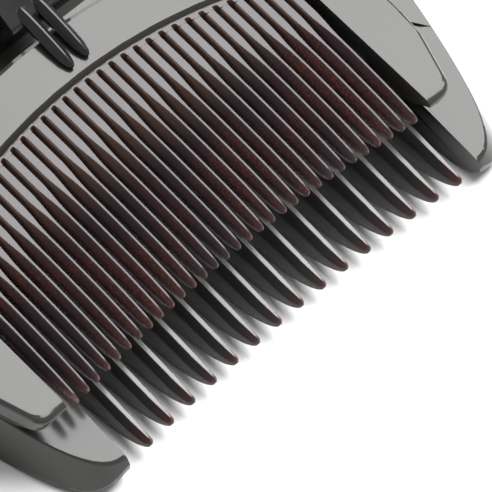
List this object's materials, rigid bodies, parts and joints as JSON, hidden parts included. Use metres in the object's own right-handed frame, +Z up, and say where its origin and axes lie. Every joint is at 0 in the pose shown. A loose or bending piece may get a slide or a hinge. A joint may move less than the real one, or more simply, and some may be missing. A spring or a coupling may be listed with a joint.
{
  "type": "clipper guard comb",
  "caption": "Hair clipper guard: fine-tooth comb sliding on T rails over a coarse long-blade comb, held by a sprung two-prong latch, with a clipper blade seat and clip below.",
  "frame": {"origin": "bottom centre of the whole guard's box, on the surface it lies on", "axes": "+Z up, away from the clipper blade; -Y towards the tooth tips; +X across the combs"},
  "size_m": [0.065, 0.05, 0.019],
  "materials": {
    "frame_plastic": "polished smoke-brown plastic",
    "comb_plastic": "polished smoke-brown plastic, red-brown where light passes",
    "black_plastic": "glossy black plastic",
    "steel": "satin stainless steel",
    "magnet": "nickel-plated magnet",
    "rubber": "matt black rubber"
  },
  "bodies": {
    "base": {"base_frame": "frame_plastic", "coarse_comb": "comb_plastic", "comb_screws": "steel", "rail_left": "steel", "rail_right": "steel", "magnet_left": "magnet", "magnet_right": "magnet", "magnet_cover_left": "black_plastic", "magnet_cover_right": "black_plastic", "seat_pad_left": "rubber", "seat_pad_right": "rubber", "clip_pin": "steel", "clip_spring": "steel", "latch_bracket": "black_plastic", "bracket_screws": "steel", "latch_pin": "steel", "latch_spring": "steel"},
    "fine": {"fine_frame": "frame_plastic", "fine_comb": "comb_plastic", "fine_screws": "steel", "guide_post_left": "black_plastic", "guide_post_right": "black_plastic"},
    "latch": {"latch_lever": "black_plastic", "latch_grip": "rubber"},
    "clip": {"clip_lever": "steel"}
  },
  "joints": [
    {"name": "fine_slide", "type": "slide", "parent": "base", "child": "fine", "axis": [0, -0.9877, -0.1564], "range_m": [-0.0018, 0.003]},
    {"name": "latch_hinge", "type": "hinge", "parent": "base", "child": "latch", "pos_m": [-0.0015, 0.0146, 0.0174], "axis": [-1, 0, 0], "range_deg": [0, 12], "stiffness_Nm_per_rad": 0.01, "springref_deg": -11.46},
    {"name": "clip_hinge", "type": "hinge", "parent": "base", "child": "clip", "pos_m": [0, 0.0176, 0.0066], "axis": [1, 0, 0], "range_deg": [0, 14], "stiffness_Nm_per_rad": 0.02, "springref_deg": -11.46}
  ]
}
